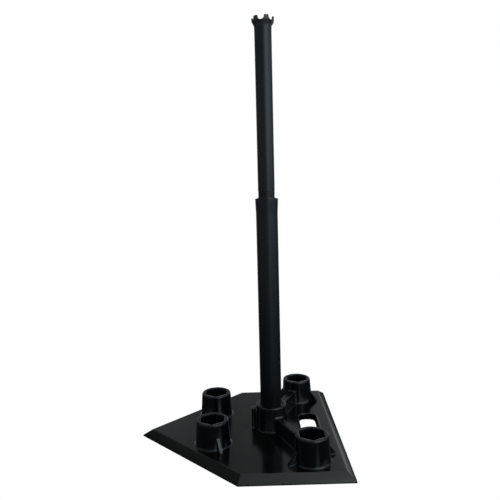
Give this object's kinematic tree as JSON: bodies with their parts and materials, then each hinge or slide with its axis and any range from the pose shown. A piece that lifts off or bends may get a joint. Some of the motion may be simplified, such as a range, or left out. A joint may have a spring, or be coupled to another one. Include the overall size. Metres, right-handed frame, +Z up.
{
  "type": "batting tee",
  "caption": "Batting tee with a home-plate base, open post sockets, and a telescoping post with a petal crown that holds a ball.",
  "frame": {"origin": "middle of the base's outline box, on the ground", "axes": "+Z up along the post; +X towards the plate's straight front edge, with the plate's point at -X; +Y to the left seen from the point"},
  "size_m": [0.4748, 0.4674, 0.9715],
  "materials": {
    "base_rubber": "semi-gloss moulded rubber, near black",
    "post_rubber": "satin rubber, near black with a cool tint",
    "crown_rubber": "satin flexible rubber, near black",
    "foot_plastic": "satin moulded plastic, near black",
    "sleeve_plastic": "satin plastic, dark grey",
    "ring_plastic": "natural nylon"
  },
  "bodies": {
    "base": {"home_plate": "base_rubber", "underside_ribs": "base_rubber", "slot_bead": "base_rubber", "hub_socket": "base_rubber", "front_right_socket": "base_rubber", "front_left_socket": "base_rubber", "back_right_socket": "base_rubber", "back_left_socket": "base_rubber", "right_web": "base_rubber", "left_web": "base_rubber", "hub_back_rib": "base_rubber", "front_right_gussets": "base_rubber", "front_left_gussets": "base_rubber", "back_right_gussets": "base_rubber", "back_left_gussets": "base_rubber"},
    "post": {"post_foot": "foot_plastic", "lower_tube": "post_rubber", "tube_collar": "post_rubber", "friction_sleeve": "sleeve_plastic"},
    "height_ring": {"split_ring": "ring_plastic"},
    "top": {"upper_tube": "post_rubber", "ball_crown": "crown_rubber"}
  },
  "joints": [
    {"name": "post_lift", "type": "slide", "parent": "base", "child": "post", "axis": [0, 0, 1], "range_m": [0, 0.06]},
    {"name": "height_adjust", "type": "slide", "parent": "post", "child": "height_ring", "axis": [0, 0, 1], "range_m": [-0.363, 0.027]},
    {"name": "tube_turn", "type": "hinge", "parent": "height_ring", "child": "top", "pos_m": [0.07667, 0, 0.5], "axis": [0, 0, 1], "continuous": true}
  ]
}
